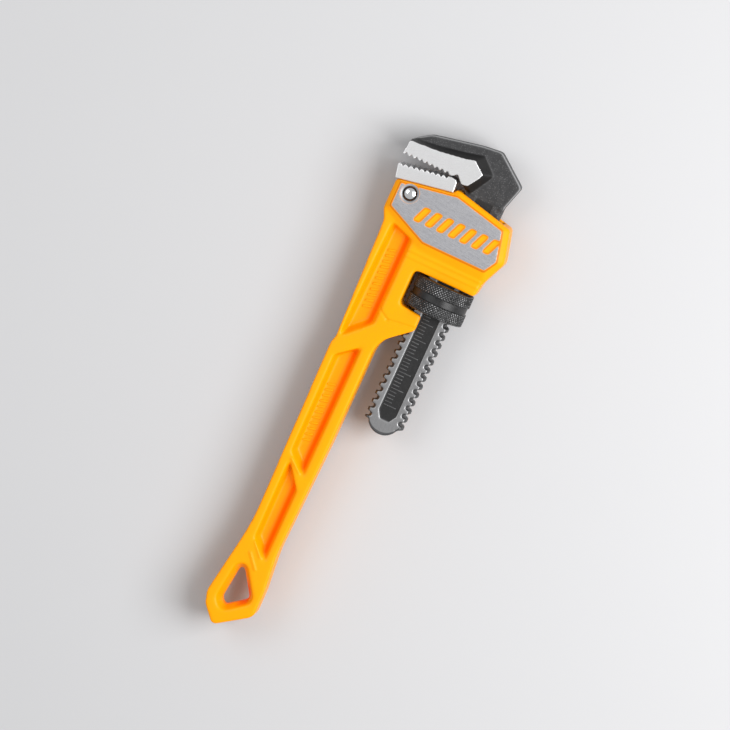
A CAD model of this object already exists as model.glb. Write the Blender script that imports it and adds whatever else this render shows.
from math import cos, pi, radians, sin, tan

import bmesh
import bpy
import numpy as np
from mathutils import Matrix, Vector


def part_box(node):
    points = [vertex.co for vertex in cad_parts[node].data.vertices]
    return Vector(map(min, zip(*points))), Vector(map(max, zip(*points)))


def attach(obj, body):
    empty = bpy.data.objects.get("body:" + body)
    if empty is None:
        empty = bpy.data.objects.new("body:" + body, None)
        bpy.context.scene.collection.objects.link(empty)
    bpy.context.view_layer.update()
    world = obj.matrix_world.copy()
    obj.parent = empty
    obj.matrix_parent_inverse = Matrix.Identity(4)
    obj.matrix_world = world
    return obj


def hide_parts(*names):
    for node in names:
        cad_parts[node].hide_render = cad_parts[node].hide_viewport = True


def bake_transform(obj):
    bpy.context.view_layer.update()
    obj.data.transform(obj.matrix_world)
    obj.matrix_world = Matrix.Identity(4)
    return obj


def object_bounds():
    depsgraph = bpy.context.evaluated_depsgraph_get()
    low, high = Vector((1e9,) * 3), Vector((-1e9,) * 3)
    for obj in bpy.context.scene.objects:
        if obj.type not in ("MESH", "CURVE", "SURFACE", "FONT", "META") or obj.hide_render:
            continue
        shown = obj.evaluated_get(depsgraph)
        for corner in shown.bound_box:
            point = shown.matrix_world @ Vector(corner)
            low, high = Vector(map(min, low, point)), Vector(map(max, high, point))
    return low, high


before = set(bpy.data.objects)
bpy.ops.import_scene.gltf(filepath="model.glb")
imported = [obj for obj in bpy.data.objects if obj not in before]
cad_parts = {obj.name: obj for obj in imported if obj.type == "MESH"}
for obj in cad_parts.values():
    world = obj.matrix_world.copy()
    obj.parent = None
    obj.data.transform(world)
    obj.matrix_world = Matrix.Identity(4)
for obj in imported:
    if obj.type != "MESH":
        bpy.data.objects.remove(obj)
cad_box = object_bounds()

# ---------------------------------------------------------------- handle and housing
# The handle, its ribs, the fork and the housing are one iron casting, shot-blasted and dipped in
# orange enamel that lies thicker in the pockets. The head's two flats are ground bare afterwards,
# so only the slanted bars sunk in them keep their paint.

MM = 0.001
nut_low, nut_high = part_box("adjusting_nut")
NUT_CENTRE = (nut_low + nut_high) / 2  # places below are given from here, in millimetres

CASTING_GRID = 0.69  # size of the quads of its skin
CASTING_PASSES = 9
FLAT_HEIGHT = 12.0
POCKET_LEFT, POCKET_RIGHT = -42.4, -27.0
POCKET_LOW, POCKET_HIGH = -208.0, 36.0
PIN_AT = (-38.7, 47.5)
PIN_SINK_RADIUS = 4.9
BAR_COUNT = 7
BAR_WIDTH = 3.4
BAR_STEP = 7.0
BAR_LEAN = 3.5 / 8.6  # sideways for each millimetre up
BAR_LOW, BAR_HIGH = 35.4, 44.0
BAR_START = -31.0

# Low ridges cast on both faces: their two ends, half width and height. A negative height is a crease.
COLLAR_RIDGES = [((-28.0, y), (16.5, y), 1.0, 0.55) for y in (15.5, 19.0)]
END_RIDGES = [
    ((-37.3, -171.7), (-30.6, -179.7), 1.0, 0.8),
    ((-37.3, -164.9), (-30.8, -172.3), 1.0, 0.8),
    ((-34.9, -161.3), (-31.0, -164.4), 1.0, 0.8),
]
RIB_RIDGES = [((-37.9, -114.0), (-30.7, -119.8), 1.0, 0.7), ((-35.6, -110.4), (-31.7, -114.1), 1.0, 0.7)]
FORK_CREASE = [((-27.2, -18.0), (-21.4, -21.5), 0.9, -0.8), ((-21.4, -21.5), (-6.5, -19.4), 0.9, -0.8)]

ENAMEL = (0.98, 0.365, 0.000, 1)
ENAMEL_DEEP = (0.95, 0.120, 0.000, 1)
ENAMEL_THIN = (1.00, 0.500, 0.000, 1)
GROUND_IRON = (0.58, 0.58, 0.60, 1)
GROUND_IRON_DARK = (0.26, 0.26, 0.28, 1)
SINK_IRON = (0.36, 0.36, 0.37, 1)
SINK_SHADE = (0.03, 0.03, 0.03, 1)
SEAT_LINE = (0.50, 0.10, 0.000, 1)


def from_nut(x, y, z=0.0):
    """The point in metres that lies x, y, z millimetres from the nut's centre."""
    return NUT_CENTRE + Vector((x, y, z)) * MM


def merged_copy(node, name):
    """A copy of a CAD node with its loose triangles joined and each flat area made one face."""
    shape = bmesh.new()
    shape.from_mesh(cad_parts[node].data)
    bmesh.ops.remove_doubles(shape, verts=shape.verts, dist=0.002 * MM)
    bmesh.ops.dissolve_limit(shape, angle_limit=radians(0.5), verts=shape.verts, edges=shape.edges)
    mesh = bpy.data.meshes.new(name)
    shape.to_mesh(mesh)
    shape.free()
    copy = bpy.data.objects.new(name, mesh)
    bpy.context.scene.collection.objects.link(copy)
    mesh.shade_smooth()
    return copy


def points_of(mesh):
    """All points of a mesh as an array, in metres."""
    points = np.empty(len(mesh.vertices) * 3)
    mesh.vertices.foreach_get("co", points)
    return points.reshape(-1, 3)


def rub(points, edges, share, passes):
    """Moves each point, on each pass, half its share of the way to the middle of its neighbours."""
    ends = np.concatenate([edges, edges[:, ::-1]])
    neighbours = np.bincount(ends[:, 0], minlength=len(points))
    for _ in range(passes):
        middles = [np.bincount(ends[:, 0], points[ends[:, 1], axis], len(points)) for axis in range(3)]
        points = points + 0.5 * share[:, None] * (np.stack(middles, axis=1) / neighbours[:, None] - points)
    return points


def ridge(places, start, end, half_width, height):
    """How far each point rises for a ridge: height * cos^2(90 deg * distance / half width)."""
    start, end = np.array(start), np.array(end)
    along = np.clip((places[:, :2] - start) @ (end - start) / ((end - start) @ (end - start)), 0, 1)
    distance = np.linalg.norm(places[:, :2] - start - along[:, None] * (end - start), axis=1)
    return height * np.cos(np.pi / 2 * np.clip(distance / half_width, 0, 1)) ** 2


def soft_copy(node, name, grid, passes, hardness, relief=None):
    """A copy of a CAD node as an even skin of small quads, its sharp edges rubbed round.

    hardness takes all points in millimetres from the nut's centre, and says how much of the
    rubbing each is spared, from 0 to 1. relief says how far each then moves out along Z."""
    piece = merged_copy(node, name)
    skin = piece.modifiers.new("even skin", "REMESH")
    skin.mode = "VOXEL"
    skin.voxel_size = grid * MM
    evaluated = piece.evaluated_get(bpy.context.evaluated_depsgraph_get())
    mesh = bpy.data.meshes.new_from_object(evaluated)
    piece.modifiers.clear()
    piece.data = mesh
    edges = np.empty(len(mesh.edges) * 2, int)
    mesh.edges.foreach_get("vertices", edges)
    points = points_of(mesh)
    share = 1 - hardness((points - np.array(NUT_CENTRE)) / MM)
    rubbed = rub(points, edges.reshape(-1, 2), share, passes)
    if relief:
        rubbed[:, 2] += relief((rubbed - np.array(NUT_CENTRE)) / MM) * MM
    mesh.vertices.foreach_set("co", rubbed.ravel())
    mesh.update()
    mesh.shade_smooth()
    return piece


def add_node(tree, kind, settings=(), **inputs):
    """Adds a shader node. Settings are its options; inputs are numbers or sockets, by input name."""
    made = tree.nodes.new("ShaderNode" + kind)
    for option, value in dict(settings).items():
        setattr(made, option, value)
    for name, value in inputs.items():
        join(tree, value, made.inputs[name.replace("_", " ")])
    return made


def join(tree, value, socket):
    """Puts a number, a colour or another node's output into a socket."""
    if isinstance(value, bpy.types.NodeSocket):
        tree.links.new(value, socket)
    else:
        socket.default_value = value


def calculate(tree, operation, *values, clamp=False):
    """A Math node's result."""
    made = add_node(tree, "Math", {"operation": operation, "use_clamp": clamp})
    for value, socket in zip(values, made.inputs):
        join(tree, value, socket)
    return made.outputs[0]


def mix_colour(tree, factor, first, second):
    """The first colour, turning into the second as the factor goes from 0 to 1."""
    made = add_node(tree, "Mix", {"data_type": "RGBA", "clamp_factor": True})
    join(tree, factor, made.inputs["Factor"])
    colours = [socket for socket in made.inputs if socket.type == "RGBA"]
    join(tree, first, colours[0])
    join(tree, second, colours[1])
    return [socket for socket in made.outputs if socket.type == "RGBA"][0]


def mix_number(tree, factor, first, second):
    """The first number, turning into the second as the factor goes from 0 to 1."""
    made = add_node(tree, "Mix", {"data_type": "FLOAT", "clamp_factor": True}, Factor=factor)
    join(tree, first, made.inputs["A"])
    join(tree, second, made.inputs["B"])
    return made.outputs["Result"]


def product(tree, *values):
    """All the values multiplied together."""
    result = values[0]
    for value in values[1:]:
        result = calculate(tree, "MULTIPLY", result, value)
    return result


def ramp(tree, value, low, high, to_low=0.0, to_high=1.0):
    """The value, moved smoothly from the range low..high to to_low..to_high."""
    made = add_node(tree, "MapRange", {"interpolation_type": "SMOOTHSTEP"}, Value=value)
    made.inputs["From Min"].default_value = low
    made.inputs["From Max"].default_value = high
    made.inputs["To Min"].default_value = to_low
    made.inputs["To Max"].default_value = to_high
    return made.outputs[0]


def new_material(name, **settings):
    """A material with a Principled shader whose plain settings are set on its own sockets."""
    material = bpy.data.materials.new(name)
    material.use_nodes = True
    tree = material.node_tree
    tree.nodes.clear()
    shader = add_node(tree, "BsdfPrincipled", (), **settings)
    output = add_node(tree, "OutputMaterial")
    tree.links.new(shader.outputs[0], output.inputs["Surface"])
    return material, tree, shader


def place_in_mm(tree, turn=0.0, stretch=(1, 1, 1)):
    """Object coordinates in millimetres from the nut's centre, turned about Z and stretched."""
    coordinates = add_node(tree, "TexCoord").outputs["Object"]
    moved = add_node(tree, "Mapping", {"vector_type": "POINT"}, Vector=coordinates)
    moved.inputs["Location"].default_value = -NUT_CENTRE / MM
    moved.inputs["Scale"].default_value = (1 / MM,) * 3
    if turn == 0.0 and stretch == (1, 1, 1):
        return moved.outputs[0]
    turned = add_node(tree, "Mapping", {"vector_type": "POINT"}, Vector=moved.outputs[0])
    turned.inputs["Rotation"].default_value = (0, 0, turn)
    pulled = add_node(tree, "Mapping", {"vector_type": "POINT"}, Vector=turned.outputs[0])
    pulled.inputs["Scale"].default_value = stretch
    return pulled.outputs[0]


def new_group(name, inputs, outputs):
    """An empty node group with named float or vector inputs, each with a default, and outputs."""
    group = bpy.data.node_groups.new(name, "ShaderNodeTree")
    for label, default in inputs.items():
        kind = "NodeSocketVector" if default is None else "NodeSocketFloat"
        socket = group.interface.new_socket(label, in_out="INPUT", socket_type=kind)
        if default is not None:
            socket.default_value = default
    for label in outputs:
        group.interface.new_socket(label, in_out="OUTPUT", socket_type="NodeSocketFloat")
    start = group.nodes.new("NodeGroupInput").outputs
    end = group.nodes.new("NodeGroupOutput").inputs
    return group, start, end


def place_group(tree, group, **inputs):
    """Puts a node group in a material with its own values."""
    made = tree.nodes.new("ShaderNodeGroup")
    made.node_tree = group
    for name, value in inputs.items():
        join(tree, value, made.inputs[name.replace("_", " ")])
    return made.outputs


def edge_group():
    """A mask of the piece's edges: how far the normal leans when it is rounded over a radius."""
    group, start, end = new_group("edge mask", {"Radius": 1.0, "Patchiness": 0.5}, ["Edge"])
    radius = calculate(group, "MULTIPLY", start["Radius"], MM)
    rounded = add_node(group, "Bevel", {"samples": 6}, Radius=radius)
    surface = add_node(group, "NewGeometry")
    lean = add_node(group, "VectorMath", {"operation": "DOT_PRODUCT"})
    group.links.new(rounded.outputs[0], lean.inputs[0])
    group.links.new(surface.outputs["Normal"], lean.inputs[1])
    edge = ramp(group, lean.outputs["Value"], 0.995, 0.86)
    coordinates = add_node(group, "TexCoord").outputs["Object"]
    patches = add_node(group, "TexNoise", (), Vector=coordinates, Scale=420.0, Detail=4.0)
    patch = ramp(group, patches.outputs[0], 0.35, 0.65)
    broken = calculate(group, "MULTIPLY", start["Patchiness"], calculate(group, "SUBTRACT", 1.0, patch))
    left = calculate(group, "SUBTRACT", 1.0, broken)
    join(group, calculate(group, "MULTIPLY", edge, left), end["Edge"])
    return group


def grain_group():
    """Fine grain from two noises: Grain is the light and dark of it, Height is for a Bump node."""
    inputs = {"Vector": None, "Coarse": 0.5, "Fine": 3.0}
    group, start, end = new_group("surface grain", inputs, ["Grain", "Height"])
    coarse = add_node(group, "TexNoise", (), Vector=start["Vector"], Scale=start["Coarse"], Detail=3.0)
    fine = add_node(group, "TexNoise", (), Vector=start["Vector"], Scale=start["Fine"], Detail=6.0)
    coarse_share = ramp(group, coarse.outputs[0], 0.3, 0.7)
    fine_share = ramp(group, fine.outputs[0], 0.3, 0.7)
    coarse_part = calculate(group, "MULTIPLY", coarse_share, 0.4)
    fine_part = calculate(group, "MULTIPLY", fine_share, 0.6)
    join(group, calculate(group, "ADD", coarse_part, fine_part), end["Grain"])
    join(group, fine.outputs[0], end["Height"])
    return group


def speckle_group():
    """Small scattered pits or spots: Spot is 1 at the middle of each, with more of them at Density."""
    inputs = {"Vector": None, "Scale": 1.0, "Density": 0.3}
    group, start, end = new_group("speckle", inputs, ["Spot"])
    cells = add_node(group, "TexVoronoi", (), Vector=start["Vector"], Scale=start["Scale"])
    round_spot = ramp(group, cells.outputs["Distance"], 0.45, 0.15)
    chance = add_node(group, "SeparateColor", (), Color=cells.outputs["Color"]).outputs[0]
    chosen = calculate(group, "LESS_THAN", chance, start["Density"])
    join(group, calculate(group, "MULTIPLY", round_spot, chosen), end["Spot"])
    return group


edge_mask = edge_group()
surface_grain = grain_group()
speckle = speckle_group()


def enamel_look(tree, place, parts):
    """Orange enamel over a cast surface: slightly wavy, deeper in the pockets, thin on edges."""
    depth = calculate(tree, "ABSOLUTE", parts["Z"])
    sunk = ramp(tree, depth, 8.7, 5.2)
    inside_left = ramp(tree, parts["X"], POCKET_LEFT - 0.3, POCKET_LEFT + 0.6)
    inside_right = ramp(tree, parts["X"], POCKET_RIGHT + 0.3, POCKET_RIGHT - 0.6)
    right_side = ramp(tree, parts["X"], -34.0, -29.5, 0.08, 0.9)
    above_end = ramp(tree, parts["Y"], POCKET_LOW - 4.0, POCKET_LOW)
    below_head = ramp(tree, parts["Y"], POCKET_HIGH + 5.0, POCKET_HIGH)
    pooled = product(tree, sunk, inside_left, inside_right, right_side, above_end, below_head)
    waves = place_group(tree, surface_grain, Vector=place, Coarse=0.12, Fine=0.9)
    edge = place_group(tree, edge_mask, Radius=1.2, Patchiness=0.6)["Edge"]
    colour = mix_colour(tree, pooled, ENAMEL, ENAMEL_DEEP)
    shaded = mix_colour(tree, product(tree, waves["Grain"], 0.10), colour, ENAMEL_DEEP)
    thinned = mix_colour(tree, product(tree, edge, 0.6), shaded, ENAMEL_THIN)
    pits = place_group(tree, speckle, Vector=place, Scale=0.55, Density=0.16)["Spot"]
    height = calculate(tree, "SUBTRACT", waves["Height"], product(tree, pits, 0.35))
    return thinned, ramp(tree, waves["Grain"], 0.0, 1.0, 0.30, 0.42), 0.0, height


def ground_look(tree, colour, dark, roughness, turn):
    """Bare ground metal: fine scratches all one way, darker flecks, and soft mottling."""
    along = place_in_mm(tree, turn, (0.16, 3.2, 1.0))
    scratches = place_group(tree, surface_grain, Vector=along, Coarse=0.7, Fine=2.4)
    place = place_in_mm(tree)
    cloud = place_group(tree, surface_grain, Vector=place, Coarse=0.5, Fine=1.6)
    flecks = place_group(tree, speckle, Vector=place, Scale=1.4, Density=0.10)["Spot"]
    grain = mix_number(tree, 0.4, scratches["Grain"], cloud["Grain"])
    shaded = mix_colour(tree, grain, dark, colour)
    flecked = mix_colour(tree, product(tree, flecks, 0.35), shaded, dark)
    return flecked, ramp(tree, grain, 0.0, 1.0, roughness + 0.1, roughness - 0.06), 0.95, scratches["Height"]


def cover(tree, mask, under, top):
    """One look over another: the top one where the mask is 1, the one under it where it is 0."""
    colour = mix_colour(tree, mask, under[0], top[0])
    return colour, *(mix_number(tree, mask, low, high) for low, high in zip(under[1:], top[1:]))


def wear_look(tree, shader, look, relief):
    """Sends a look's colour, roughness, metal and relief, in millimetres, to the shader."""
    colour, roughness, metal, height = look
    join(tree, colour, shader.inputs["Base Color"])
    join(tree, roughness, shader.inputs["Roughness"])
    join(tree, metal, shader.inputs["Metallic"])
    bump = add_node(tree, "Bump", (), Height=height, Strength=0.35, Distance=relief * MM)
    join(tree, bump.outputs[0], shader.inputs["Normal"])


def ground_material(name, colour, dark, roughness, turn):
    """A whole piece in one ground finish."""
    material, tree, shader = new_material(name)
    wear_look(tree, shader, ground_look(tree, colour, dark, roughness, turn), 0.03)
    return material


def within(tree, value, low, high, soft=0.05):
    """1 where the value lies between two others, 0 outside them, with a narrow soft edge."""
    above = ramp(tree, value, low - soft, low + soft)
    below = ramp(tree, value, high + soft, high - soft)
    return product(tree, above, below)


def distance_from(tree, parts, place):
    """How far a point is from an upright line through (x, y)."""
    squares = [
        calculate(tree, "POWER", calculate(tree, "SUBTRACT", parts[axis], start), 2.0)
        for axis, start in zip("XY", place)
    ]
    return calculate(tree, "SQRT", calculate(tree, "ADD", *squares))


def slanted_bars(tree, parts, inset=0.0):
    """A mask of the row of slanted bars, each drawn in from its outline by the inset."""
    up = calculate(tree, "SUBTRACT", parts["Y"], BAR_LOW)
    lean = calculate(tree, "SUBTRACT", parts["X"], product(tree, up, BAR_LEAN))
    along = calculate(tree, "SUBTRACT", lean, BAR_START)
    step = calculate(tree, "FLOORED_MODULO", along, BAR_STEP)
    in_bar = within(tree, step, 0.06 + inset, BAR_WIDTH - inset)
    in_row = within(tree, along, -0.1, BAR_STEP * (BAR_COUNT - 1) + BAR_WIDTH + 0.1)
    return product(tree, in_bar, in_row, within(tree, parts["Y"], BAR_LOW + inset, BAR_HIGH - inset))


def casting_material():
    """Enamel all over, but bare ground iron on the flats and dull iron in the pin's countersinks."""
    material, tree, shader = new_material("enamelled_casting", IOR=1.48, Specular_IOR_Level=0.16)
    place = place_in_mm(tree)
    parts = add_node(tree, "SeparateXYZ", (), Vector=place).outputs
    enamel = enamel_look(tree, place, parts)
    bare = ground_look(tree, GROUND_IRON, GROUND_IRON_DARK, 0.42, radians(8))
    height = calculate(tree, "ABSOLUTE", parts["Z"])
    flat = ramp(tree, height, FLAT_HEIGHT - 0.06, FLAT_HEIGHT - 0.02)
    bars = slanted_bars(tree, parts)
    bar_line = product(tree, calculate(tree, "SUBTRACT", bars, slanted_bars(tree, parts, 0.45)), 0.55)
    unpainted = calculate(tree, "SUBTRACT", 1.0, bars)
    seat_line = product(tree, within(tree, height, FLAT_HEIGHT - 0.4, FLAT_HEIGHT - 0.06), unpainted)
    line = calculate(tree, "MAXIMUM", seat_line, bar_line)
    lined = (mix_colour(tree, product(tree, line, 0.7), enamel[0], SEAT_LINE), *enamel[1:])
    look = cover(tree, product(tree, flat, unpainted), lined, bare)
    from_pin = distance_from(tree, parts, PIN_AT)
    sink = ramp(tree, from_pin, PIN_SINK_RADIUS + 0.7, PIN_SINK_RADIUS + 0.4)
    ring = ramp(tree, from_pin, PIN_SINK_RADIUS - 0.5, PIN_SINK_RADIUS - 0.8)
    dull = (mix_colour(tree, ring, SINK_IRON, SINK_SHADE), 0.5, 0.6, 0.5)
    look = cover(tree, product(tree, sink, ramp(tree, height, 10.0, 10.3)), look, dull)
    wear_look(tree, shader, look, 0.09)
    return material


def casting_hardness(places):
    """The head's flats, the slots and the pin's sinks stay crisper than the rest of the casting."""
    head = np.clip((np.abs(places[:, 2]) - 11.2) / 0.4, 0, 1) * 0.8
    slots = np.where((np.abs(places[:, 2]) < 6.4) & (places[:, 1] > 8) & (places[:, 0] > -46.5), 0.7, 0.0)
    return np.maximum(head, slots)


def casting_relief(places):
    """Collar ridges, rib ridges and the fork's crease, on the outer faces only."""
    outer = np.clip((np.abs(places[:, 2]) - 8.0) / 0.8, 0, 1) * np.sign(places[:, 2])
    ridges = COLLAR_RIDGES + END_RIDGES + RIB_RIDGES + FORK_CREASE
    return outer * sum(ridge(places, *line) for line in ridges)


casting = soft_copy(
    "handle_body", "handle_casting", CASTING_GRID, CASTING_PASSES, casting_hardness, casting_relief
)
casting.data.materials.clear()
casting.data.materials.append(casting_material())
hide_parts("handle_body")
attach(casting, "housing")

# Rows of plain raised bars, cast on the floor of the two upper pockets on both faces. They are part
# of the casting and carry the same enamel.

MARK_LENGTH = 5.0
MARK_WIDTH = 1.5
MARK_HEIGHT = 0.55
MARK_STEP = 3.4
MARK_SLANT = 1.2
MARK_COUNT = 11
MARK_X = -35.2
MARK_ROWS = (14.0, -68.0)  # where the first bar of each row lies
WEB_HALF = 2.8


def mesh_piece(name, points, faces, material):
    """A mesh object from an array of points in metres and an array of faces."""
    mesh = bpy.data.meshes.new(name)
    mesh.from_pydata(points.tolist(), [], faces.tolist())
    mesh.validate()
    mesh.materials.append(material)
    piece = bpy.data.objects.new(name, mesh)
    bpy.context.scene.collection.objects.link(piece)
    return piece


def raised_bars(name, places, length, width, height, slant, floor, material):
    """Drafted bars on both faces: every bar is a box whose top is smaller than its foot all round.

    places holds each bar's middle (x, y) and its share of the full length, as rows of an array."""
    draft = height * 0.5
    side_x = np.array([-0.5, 0.5, 0.5, -0.5])
    side_y = np.array([-0.5, -0.5, 0.5, 0.5])
    levels = [(-0.3, 0.0), (0.0, 0.0), (height, draft)]
    corners = []
    for face in (-1, 1):
        for rise, inset in levels:
            x = places[:, :1] + side_x * (length * places[:, 2:3] - 2 * inset)
            y = places[:, 1:2] + side_y * (width - 2 * inset) + slant * side_x
            z = np.full_like(x, face * (floor + rise))
            corners.append(np.stack([x, y, z], axis=2))
    points = np.stack(corners, axis=1).reshape(-1, 3)
    ring = np.arange(4)
    following = (ring + 1) % 4
    wall = np.stack([ring, following, following + 4, ring + 4], axis=1)
    walls = [wall, wall + 4]
    ends = [ring[::-1][None], (ring + 8)[None]]
    one = np.concatenate(walls + ends)
    under = one[:, ::-1]
    both = np.concatenate([under, one + 12])
    faces = (both[None] + 24 * np.arange(len(places))[:, None, None]).reshape(-1, 4)
    bars = mesh_piece(name, points * MM + np.array(NUT_CENTRE), faces, material)
    softened = bars.modifiers.new("soft edges", "BEVEL")
    softened.width = height * 0.35 * MM
    softened.segments = 2
    softened.angle_limit = radians(20)
    bars.data.shade_smooth()
    return bars


row_places = np.array(
    [(MARK_X, start - MARK_STEP * i, 1.0) for start in MARK_ROWS for i in range(MARK_COUNT)]
)
marks = raised_bars(
    "cast_marks", row_places, MARK_LENGTH, MARK_WIDTH, MARK_HEIGHT, MARK_SLANT, WEB_HALF,
    bpy.data.materials["enamelled_casting"],
)
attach(marks, "housing")

# ---------------------------------------------------------------- heel jaw
# A block of tool steel, forged, hardened and ground bright, with teeth broached across its top.
# Its tang drops into the head's slot, and the pin holds it there.

JAW_GRID = 0.30
JAW_PASSES = 2
JAW_STEEL = (0.86, 0.86, 0.86, 1)
JAW_STEEL_DARK = (0.66, 0.66, 0.67, 1)
JAW_GRIND = radians(-20)


def even_hardness(places):
    """Every point is rubbed alike."""
    return np.zeros(len(places))


heel = soft_copy("heel_jaw", "heel_jaw_block", JAW_GRID, JAW_PASSES, even_hardness)
heel.data.materials.clear()
heel.data.materials.append(ground_material("ground_jaw_steel", JAW_STEEL, JAW_STEEL_DARK, 0.36, JAW_GRIND))
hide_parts("heel_jaw")
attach(heel, "housing")

# ---------------------------------------------------------------- heel jaw pin
# A hardened round pin pressed through the head and the heel jaw's tang. Its ends are polished
# domes that stand in a countersink on each face.

PIN_RADIUS = 3.75
PIN_HALF = 11.8
DOME_RISE = 1.9
PIN_STEEL = (0.90, 0.90, 0.91, 1)
PIN_STEEL_DULL = (0.70, 0.70, 0.72, 1)


def tube_quads(rows, columns):
    """Quads of a grid that closes on itself across its columns and is open at its first and last row."""
    row = columns * np.arange(rows - 1)[:, None]
    column = np.arange(columns)
    beside = (column + 1) % columns
    quads = [row + column, row + beside, row + columns + beside, row + columns + column]
    return np.stack(quads, axis=2).reshape(-1, 4)


def turned(name, profile, along, place, material, columns=96):
    """A closed surface of revolution: each (radius, height) of the profile swept round an axis.

    A point's angle round the axis is the grid's first parameter, its place on the profile the
    second. The profile starts and ends on the axis, where each pole is a single point."""
    radius, height = np.array(profile[1:-1]).T
    angle = np.linspace(0, 2 * pi, columns, endpoint=False)
    rows = len(radius)
    x = radius[:, None] * np.cos(angle)
    y = radius[:, None] * np.sin(angle)
    z = np.broadcast_to(height[:, None], x.shape)
    points = np.stack([x, y, z], axis=2).reshape(-1, 3)
    poles = np.array([(0, 0, profile[0][1]), (0, 0, profile[-1][1])])
    points = np.concatenate([points, poles])
    turn_to = {"X": points[:, [2, 0, 1]], "Y": points[:, [1, 2, 0]], "Z": points}[along]
    column = np.arange(columns)
    beside = (column + 1) % columns
    last = columns * (rows - 1)
    first_cap = np.stack([beside, column, np.full(columns, columns * rows)], axis=1)
    last_cap = np.stack([last + column, last + beside, np.full(columns, columns * rows + 1)], axis=1)
    mesh = bpy.data.meshes.new(name)
    faces = tube_quads(rows, columns).tolist() + first_cap.tolist() + last_cap.tolist()
    mesh.from_pydata((turn_to * MM + np.array(from_nut(*place))).tolist(), [], faces)
    mesh.materials.append(material)
    mesh.shade_smooth()
    piece = bpy.data.objects.new(name, mesh)
    bpy.context.scene.collection.objects.link(piece)
    return piece


def domed_profile(radius, half, rise, steps=12):
    """Half an outline with an elliptical dome at each end, from the lower pole to the upper one."""
    angle = np.linspace(-pi / 2, 0, steps)
    low = np.stack([radius * np.cos(angle), -half + rise + rise * np.sin(angle)], axis=1)
    high = low[::-1] * (1, -1)
    return np.concatenate([low, high])


def polished_material():
    """Polished steel, nearly a mirror, with faint hazy patches."""
    material, tree, shader = new_material("polished_pin_steel", Metallic=1.0)
    haze = place_group(tree, surface_grain, Vector=place_in_mm(tree), Coarse=0.5, Fine=4.0)
    share = calculate(tree, "MULTIPLY", haze["Grain"], 0.4)
    join(tree, mix_colour(tree, share, PIN_STEEL, PIN_STEEL_DULL), shader.inputs["Base Color"])
    join(tree, ramp(tree, haze["Grain"], 0.0, 1.0, 0.06, 0.20), shader.inputs["Roughness"])
    return material


pin_profile = domed_profile(PIN_RADIUS, PIN_HALF, DOME_RISE)
pin = turned("heel_pin", pin_profile, "Z", (*PIN_AT, 0), polished_material())
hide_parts("heel_jaw_pin")
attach(pin, "housing")

# ---------------------------------------------------------------- hook jaw
# A steel forging, blackened all over. The toothed block's two faces and the rails beside the
# shank's channel are ground bright afterwards; the thread is cut along both edges of the shank.

HOOK_GRID = 0.44
HOOK_PASSES = 9
BLOCK_FACE = 10.0
RAIL_FACE = 5.4
RAIL_TOP = 50.0
HOOK_FOOT = 61.0  # where the hook grows out of the shank
CHANNEL_HALF = 5.5
CHANNEL_LOW = -75.5
HOOK_FACE = 5.0
SHANK_ROUND_CENTRE = (0, -70.3)
SHANK_BAND_RADIUS = 9.6
TOOTH_ROOTS = 67.5
BITE_END = -21.0
THREAD_ROOT = 8.9
FORGED_BLACK = (0.020, 0.020, 0.021, 1)
FORGED_GREY = (0.055, 0.055, 0.057, 1)
FORGED_WORN = (0.30, 0.30, 0.305, 1)
FORGED_DEEP = (0.006, 0.006, 0.006, 1)
RAIL_STEEL = (0.34, 0.34, 0.345, 1)
RAIL_STEEL_DARK = (0.24, 0.24, 0.245, 1)
FLANK_STEEL = (0.16, 0.16, 0.165, 1)
FLANK_STEEL_DARK = (0.07, 0.07, 0.07, 1)


def forged_look(tree, place):
    """Blackened forging scale: matt, speckled light and dark, a little worn along its edges."""
    scale = place_group(tree, surface_grain, Vector=place, Coarse=0.35, Fine=2.6)
    bright = place_group(tree, speckle, Vector=place, Scale=1.7, Density=0.35)["Spot"]
    edge = place_group(tree, edge_mask, Radius=1.0, Patchiness=0.5)["Edge"]
    colour = mix_colour(tree, product(tree, scale["Grain"], 0.7), FORGED_BLACK, FORGED_GREY)
    spotted = mix_colour(tree, product(tree, bright, 0.35), colour, FORGED_WORN)
    worn = mix_colour(tree, product(tree, edge, 0.45), spotted, FORGED_WORN)
    pits = place_group(tree, speckle, Vector=place, Scale=1.1, Density=0.3)["Spot"]
    height = calculate(tree, "SUBTRACT", scale["Height"], product(tree, pits, 0.4))
    return worn, ramp(tree, scale["Grain"], 0.0, 1.0, 0.44, 0.60), 0.0, height


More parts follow.
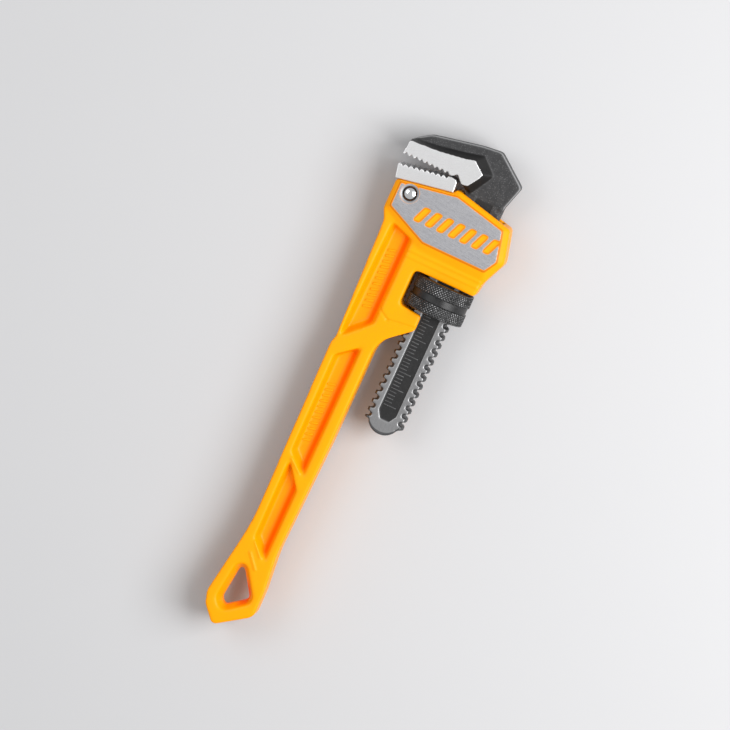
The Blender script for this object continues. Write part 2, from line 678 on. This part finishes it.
def forging_material():
    """Black scale, with bright ground block faces and teeth, grey rails, and a dull cut thread."""
    material, tree, shader = new_material("hook_forging", IOR=1.5, Specular_IOR_Level=0.35)
    place = place_in_mm(tree)
    parts = add_node(tree, "SeparateXYZ", (), Vector=place).outputs
    height = calculate(tree, "ABSOLUTE", parts["Z"])
    aside = calculate(tree, "ABSOLUTE", parts["X"])
    black = forged_look(tree, place)
    above = ramp(tree, parts["Y"], HOOK_FOOT - 1.5, HOOK_FOOT)
    under = ramp(tree, parts["Y"], HOOK_FOOT, HOOK_FOOT - 1.5)
    on_slope = within(tree, height, HOOK_FACE + 0.35, BLOCK_FACE - 0.2, 0.15)
    towards_back = ramp(tree, parts["X"], -50, -24, 0.35, 0.92)
    slopes = product(tree, on_slope, above, towards_back)
    in_channel = ramp(tree, aside, CHANNEL_HALF + 0.1, CHANNEL_HALF - 0.2)
    above_channel_end = ramp(tree, parts["Y"], CHANNEL_LOW - 0.5, CHANNEL_LOW + 0.5)
    sunk = product(tree, in_channel, under, above_channel_end, 0.8)
    shaded = mix_colour(tree, calculate(tree, "MAXIMUM", slopes, sunk), black[0], FORGED_DEEP)
    rim = product(tree, within(tree, height, HOOK_FACE - 0.7, HOOK_FACE - 0.15, 0.15), above, 0.8)
    black = (mix_colour(tree, rim, shaded, FORGED_WORN), *black[1:])
    bright = ground_look(tree, JAW_STEEL, JAW_STEEL_DARK, 0.36, JAW_GRIND)
    rail = ground_look(tree, RAIL_STEEL, RAIL_STEEL_DARK, 0.40, radians(90))
    flank = ground_look(tree, FLANK_STEEL, FLANK_STEEL_DARK, 0.45, 0.0)
    shank = ramp(tree, parts["Y"], RAIL_TOP + 0.2, RAIL_TOP - 0.2)
    cut = ramp(tree, aside, THREAD_ROOT - 0.3, THREAD_ROOT)
    round_end = ramp(tree, parts["Y"], -72.8, -73.2)
    cut_anywhere = calculate(tree, "MAXIMUM", cut, round_end)
    look = cover(tree, product(tree, shank, cut_anywhere), black, flank)
    on_rail = ramp(tree, height, RAIL_FACE - 0.20, RAIL_FACE - 0.12)
    look = cover(tree, product(tree, shank, on_rail), look, rail)
    below = ramp(tree, parts["Y"], SHANK_ROUND_CENTRE[1] + 1.0, SHANK_ROUND_CENTRE[1] - 1.0)
    from_round = distance_from(tree, parts, SHANK_ROUND_CENTRE)
    band = ramp(tree, from_round, SHANK_BAND_RADIUS, SHANK_BAND_RADIUS + 0.3)
    look = cover(tree, product(tree, band, below), look, flank)
    block = ramp(tree, height, BLOCK_FACE - 0.10, BLOCK_FACE - 0.04)
    left = ramp(tree, parts["X"], BITE_END + 0.2, BITE_END - 0.2)
    teeth = product(tree, ramp(tree, parts["Y"], TOOTH_ROOTS + 0.1, TOOTH_ROOTS - 0.1), left)
    look = cover(tree, calculate(tree, "MAXIMUM", block, teeth), look, bright)
    wear_look(tree, shader, look, 0.08)
    return material


def forging_hardness(places):
    """The block's ground faces, its teeth and the shank keep crisp edges; the hook doesn't."""
    block = np.abs(places[:, 2]) > 9.4
    shank = places[:, 1] < 61
    teeth = (places[:, 1] < 68) & (places[:, 0] < -20)
    return np.where(block | shank | teeth, 0.88, 0.0)


def scale_material():
    """The forging's black scale on its own, for marks raised from it."""
    material, tree, shader = new_material("forged_scale", IOR=1.5, Specular_IOR_Level=0.35)
    wear_look(tree, shader, forged_look(tree, place_in_mm(tree)), 0.08)
    return material


hook = soft_copy("hook_jaw", "hook_jaw_forging", HOOK_GRID, HOOK_PASSES, forging_hardness)
hook.data.materials.clear()
hook.data.materials.append(forging_material())
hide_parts("hook_jaw")
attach(hook, "hook")

# A plain scale of raised ticks, forged in the channel on both faces, by which the jaw is set.

TICK_STEP = 2.0
TICK_WIDTH = 0.62
TICK_HEIGHT = 0.26
TICK_LEFT = -4.2
TICK_LENGTH = 7.4
TICK_FIRST, TICK_LAST = -65.0, -3.0
CHANNEL_FLOOR = 5.0

tick_y = np.arange(TICK_FIRST, TICK_LAST, TICK_STEP)
tick_share = np.where(np.arange(len(tick_y)) % 5 == 0, 1.0, 0.55)
tick_places = np.stack([TICK_LEFT + TICK_LENGTH * tick_share / 2, tick_y, tick_share], axis=1)
ticks = raised_bars(
    "jaw_scale_ticks", tick_places, TICK_LENGTH, TICK_WIDTH, TICK_HEIGHT, 0.0, CHANNEL_FLOOR,
    scale_material(),
)
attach(ticks, "hook")

# ---------------------------------------------------------------- adjusting nut
# A ring of steel, turned, tapped for the shank's thread, then diamond-knurled in two bands with a
# plain groove between them, and blackened in oil. The knurl's tips catch the light.

NUT_RADIUS = 16.85
NUT_HALF = 9.2
NUT_CHAMFER = 1.0
GROOVE_HALF = 1.85
GROOVE_DEPTH = 0.8
KNURL_TEETH = 62
KNURL_SAMPLES = 8  # grid lines per tooth
KNURL_RISE = 1.9  # along the wrench, for one tooth round the nut
KNURL_DEPTH = 0.42
PITCH = 5.0
BORE_MINOR, BORE_MAJOR = 9.65, 11.75
THREAD_ROOM_HALF = 1.16  # half the room at its bottom
THREAD_ROOM_MOUTH = 1.70  # and at the bore
BORE_ROWS = 64
NUT_BLACK = (0.006, 0.006, 0.006, 1)
NUT_GREY = (0.020, 0.020, 0.021, 1)
NUT_TIP = (0.50, 0.50, 0.51, 1)


def zigzag(turns):
    """0 at whole turns and 1 halfway between them, in straight lines."""
    return 1 - np.abs(2 * (turns % 1) - 1)


def nut_surface():
    """The whole nut as one grid that closes on itself both ways.

    Round the nut runs the angle. The other way the rows go up the outside, across the top face,
    down the bore and back across the bottom face. Outside, the radius is the nut's own less the
    depth of whichever of two crossing sets of V grooves is deeper there. In the bore it is the
    thread's profile at the height less the helix's climb to that angle."""
    angle = np.linspace(0, 2 * pi, KNURL_TEETH * KNURL_SAMPLES, endpoint=False)
    band_low = GROOVE_HALF + 0.35
    band_high = NUT_HALF - NUT_CHAMFER
    band = np.arange(band_low, band_high, KNURL_RISE / KNURL_SAMPLES)
    arc = np.linspace(0, pi / 2, 5)
    rim_height = np.concatenate([[band_high], band_high + NUT_CHAMFER * np.sin(arc[1:])])
    rim_radius = np.concatenate([[NUT_RADIUS], NUT_RADIUS - NUT_CHAMFER * (1 - np.cos(arc[1:]))])
    fillet = np.linspace(0, pi / 2, 4)
    wall_height = GROOVE_HALF + 0.35 * np.sin(fillet)
    wall_radius = NUT_RADIUS - GROOVE_DEPTH * (1 + np.cos(2 * fillet)) / 2
    half_height = np.concatenate([[0, 0.9], wall_height[:-1], band, rim_height])
    floor_radius = np.full(2, NUT_RADIUS - GROOVE_DEPTH)
    half_radius = np.concatenate([floor_radius, wall_radius[:-1], np.full(len(band), NUT_RADIUS), rim_radius])
    height = np.concatenate([-half_height[:0:-1], half_height])
    radius = np.concatenate([half_radius[:0:-1], half_radius])
    round_turns = KNURL_TEETH * angle / (2 * pi)
    climb = height[:, None] / KNURL_RISE
    cut = 1 - np.minimum(zigzag(round_turns + climb), zigzag(round_turns - climb))
    past_groove = np.clip((np.abs(height) - band_low + 0.1) / 0.25, 0, 1)
    before_rim = np.clip((band_high + 0.35 - np.abs(height)) / 0.35, 0, 1)
    in_band = past_groove * before_rim
    outside = radius[:, None] - KNURL_DEPTH * np.clip(cut * 1.15 - 0.15, 0, 1) * in_band[:, None]
    bore_height = np.linspace(NUT_HALF, -NUT_HALF, BORE_ROWS)
    pitches = bore_height[:, None] / PITCH - angle / (2 * pi)
    from_middle = np.abs((pitches + 0.5) % 1 - 0.5) * PITCH
    closeness = (THREAD_ROOM_MOUTH - from_middle) / (THREAD_ROOM_MOUTH - THREAD_ROOM_HALF)
    bore = BORE_MINOR + (BORE_MAJOR - BORE_MINOR) * np.clip(closeness, 0, 1)
    all_radii = np.concatenate([outside, bore])
    all_heights = np.concatenate([height, bore_height])[:, None] + 0 * angle
    # The angle is counted from +Z towards +X, as the thread's helix is.
    return np.stack([all_radii * np.sin(angle), all_heights, all_radii * np.cos(angle)], axis=2)


def closed_grid_faces(rows, columns):
    """Quads of a grid that closes on itself both ways."""
    row, column = np.meshgrid(np.arange(rows), np.arange(columns), indexing="ij")
    below, beside = (row + 1) % rows, (column + 1) % columns
    corners = [(row, column), (row, beside), (below, beside), (below, column)]
    return np.stack([r * columns + c for r, c in corners], axis=2).reshape(-1, 4)


def blackened_material():
    """Oil-blackened steel: dark and half glossy, with the knurl's tips and the edges rubbed bright."""
    material, tree, shader = new_material("blackened_nut_steel", IOR=1.55, Specular_IOR_Level=0.35)
    place = place_in_mm(tree)
    parts = add_node(tree, "SeparateXYZ", (), Vector=place).outputs
    squares = [calculate(tree, "POWER", parts[axis], 2.0) for axis in "XZ"]
    radius = calculate(tree, "SQRT", calculate(tree, "ADD", *squares))
    tip = ramp(tree, radius, NUT_RADIUS - 0.16, NUT_RADIUS - 0.02)
    band = ramp(tree, calculate(tree, "ABSOLUTE", parts["Y"]), GROOVE_HALF, GROOVE_HALF + 0.5)
    patches = place_group(tree, surface_grain, Vector=place, Coarse=0.3, Fine=1.6)
    rubbed = product(tree, tip, band, ramp(tree, patches["Grain"], 0.25, 0.7))
    colour = mix_colour(tree, patches["Grain"], NUT_BLACK, NUT_GREY)
    join(tree, mix_colour(tree, rubbed, colour, NUT_TIP), shader.inputs["Base Color"])
    join(tree, product(tree, rubbed, 0.8), shader.inputs["Metallic"])
    join(tree, ramp(tree, patches["Grain"], 0.0, 1.0, 0.30, 0.44), shader.inputs["Roughness"])
    bump = add_node(tree, "Bump", (), Height=patches["Height"], Strength=0.3, Distance=0.05 * MM)
    join(tree, bump.outputs[0], shader.inputs["Normal"])
    return material


grid = nut_surface()
nut_faces = closed_grid_faces(*grid.shape[:2])
nut_points = grid.reshape(-1, 3) * MM + np.array(NUT_CENTRE)
nut = mesh_piece("knurled_nut", nut_points, nut_faces[:, ::-1], blackened_material())
nut.data.shade_smooth()
nut.data.set_sharp_from_angle(angle=radians(32))
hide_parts("adjusting_nut")
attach(nut, "nut")

# ---------------------------------------------------------------- spring set
# A bowed strip of blue spring steel, riveted by its top to the passage's back wall, and a small
# coil behind it in a blind hole. They press the shank forward and let the hook jaw rock.

SPRING_STEEL = (0.30, 0.32, 0.36, 1)
SPRING_STEEL_DARK = (0.14, 0.15, 0.19, 1)
STRIP_EDGE = 0.15
COIL_RADIUS = 2.4
COIL_WIRE = 0.4
COIL_TURNS = 5
RIVET_Y = 45.5
RIVET_RADIUS = 1.6
RIVET_STEEL = (0.46, 0.46, 0.47, 1)
RIVET_STEEL_DARK = (0.28, 0.28, 0.29, 1)


def coil_wire(low, high, material):
    """A round wire carried along a helix about X between two places, its end turns pulled level.

    The angle round the coil runs with the grid's rows, the angle round the wire with its columns."""
    rows, columns = 40 * COIL_TURNS, 10
    share = np.linspace(0, 1, rows)
    around = 2 * pi * COIL_TURNS * share
    start, end = low.x + COIL_WIRE * MM, high.x - COIL_WIRE * MM
    level = np.clip((share * COIL_TURNS - 0.6) / (COIL_TURNS - 1.2), 0, 1)
    middle = (low + high) / 2
    axis_x = start + (end - start) * level
    wire_angle = np.linspace(0, 2 * pi, columns, endpoint=False)
    outward = COIL_RADIUS + COIL_WIRE * np.cos(wire_angle)[None]
    x = axis_x[:, None] + COIL_WIRE * MM * np.sin(wire_angle)
    y = middle.y + outward * np.cos(around)[:, None] * MM
    z = middle.z + outward * np.sin(around)[:, None] * MM
    points = np.stack([x, y, z], axis=2).reshape(-1, 3)
    mesh = bpy.data.meshes.new("coil_wire")
    last = columns * (rows - 1)
    caps = [list(range(columns))[::-1], list(range(last, last + columns))]
    mesh.from_pydata(points.tolist(), [], tube_quads(rows, columns).tolist() + caps)
    mesh.materials.append(material)
    mesh.shade_smooth()
    piece = bpy.data.objects.new("coil_wire", mesh)
    bpy.context.scene.collection.objects.link(piece)
    return piece


spring_material = ground_material("spring_steel", SPRING_STEEL, SPRING_STEEL_DARK, 0.32, radians(90))
strip = merged_copy("flat_spring", "bowed_strip")
strip.data.materials.append(spring_material)
softened = strip.modifiers.new("broken edges", "BEVEL")
softened.width = STRIP_EDGE * MM
softened.segments = 2
softened.angle_limit = radians(50)
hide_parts("flat_spring")
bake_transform(strip)

coil_low, coil_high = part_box("coil_spring")
coil = coil_wire(coil_low, coil_high, spring_material)
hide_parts("coil_spring")
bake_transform(coil)

rivet_low, rivet_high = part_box("flat_spring_rivet")
rivet_half = (rivet_high.x - rivet_low.x) / MM / 2
rivet_x = (rivet_low.x + rivet_high.x) / MM / 2 - NUT_CENTRE.x / MM
rivet_material = ground_material("rivet_steel", RIVET_STEEL, RIVET_STEEL_DARK, 0.38, 0.0)
rivet_profile = domed_profile(RIVET_RADIUS, rivet_half, 0.3, steps=6)
rivet = turned("strip_rivet", rivet_profile, "X", (rivet_x, RIVET_Y, 0), rivet_material, columns=32)
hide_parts("flat_spring_rivet")
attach(rivet, "housing")

# ---------------------------------------------------------------- floor, light and camera
# The wrench lies on a plain pale floor. One large soft light stands on its right, a weaker one on
# its left, and the camera looks down on it through a long lens.

FLOOR_SIZE = 14.0
FLOOR_COLOUR = (0.55, 0.55, 0.56, 1)
SKY = (1.0, 1.0, 1.0, 1)
SKY_STRENGTH = 0.52
LIGHT_DISTANCE = 1.3
CAMERA_DISTANCE = 3.0
CAMERA_LEAN_X = radians(4.5)
CAMERA_LEAN_Y = radians(7.0)
CAMERA_ROLL = radians(24.5)
FRAME_WIDTH = 0.405
SENSOR = 36.0
LOOK_AT = (-22.9, -50.6)


def floor():
    """A wide flat sheet just under the lowest point."""
    material, tree, shader = new_material("pale_floor", Roughness=0.6)
    cloud = place_group(tree, surface_grain, Vector=place_in_mm(tree), Coarse=0.004, Fine=0.05)
    shade = calculate(tree, "MULTIPLY", cloud["Grain"], 0.04)
    join(tree, mix_colour(tree, shade, FLOOR_COLOUR, (0.5, 0.5, 0.5, 1)), shader.inputs["Base Color"])
    half = FLOOR_SIZE / 2
    level = cad_box[0].z - 0.3 * MM
    square = ((-half, -half), (half, -half), (half, half), (-half, half))
    corners = np.array([(x, y, level) for x, y in square])
    sheet = mesh_piece("studio_floor", corners, np.array([[0, 1, 2, 3]]), material)


def softbox(name, sideways, along, size, energy):
    """A square area light that leans over by two angles and faces the wrench."""
    light = bpy.data.lights.new(name, "AREA")
    light.shape = "SQUARE"
    light.size = size
    light.energy = energy
    lamp = bpy.data.objects.new(name, light)
    towards = Vector((tan(sideways), tan(along), 1)).normalized()
    lamp.location = from_nut(*LOOK_AT) + towards * LIGHT_DISTANCE
    lamp.rotation_euler = towards.to_track_quat("Z", "Y").to_euler()
    bpy.context.scene.collection.objects.link(lamp)


def sky():
    """Even white light from all round."""
    world = bpy.data.worlds.new("studio")
    world.use_nodes = True
    background = world.node_tree.nodes["Background"]
    background.inputs["Color"].default_value = SKY
    background.inputs["Strength"].default_value = SKY_STRENGTH
    bpy.context.scene.world = world


def camera():
    """Looks down, leaning right and towards the head, and rolled so that the wrench lies aslant."""
    data = bpy.data.cameras.new("camera")
    data.sensor_width = SENSOR
    data.lens = SENSOR * CAMERA_DISTANCE / FRAME_WIDTH
    data.clip_end = 20
    towards = Vector((tan(CAMERA_LEAN_X), tan(CAMERA_LEAN_Y), 1)).normalized()
    head_way = (Vector((0, 1, 0)) - towards * towards.y).normalized()
    sideways = head_way.cross(towards)
    up = head_way * cos(CAMERA_ROLL) - sideways * sin(CAMERA_ROLL)
    right = sideways * cos(CAMERA_ROLL) + head_way * sin(CAMERA_ROLL)
    eye = bpy.data.objects.new("camera", data)
    turned_to = Matrix((right, up, towards)).transposed().to_4x4()
    eye.matrix_world = Matrix.Translation(from_nut(*LOOK_AT) + towards * CAMERA_DISTANCE) @ turned_to
    bpy.context.scene.collection.objects.link(eye)
    bpy.context.scene.camera = eye


floor()
sky()
softbox("key_softbox", radians(42), radians(18), 0.9, 20)
softbox("fill_softbox", radians(-35), radians(10), 0.7, 3)
camera()
bpy.context.scene.view_settings.view_transform = "Standard"
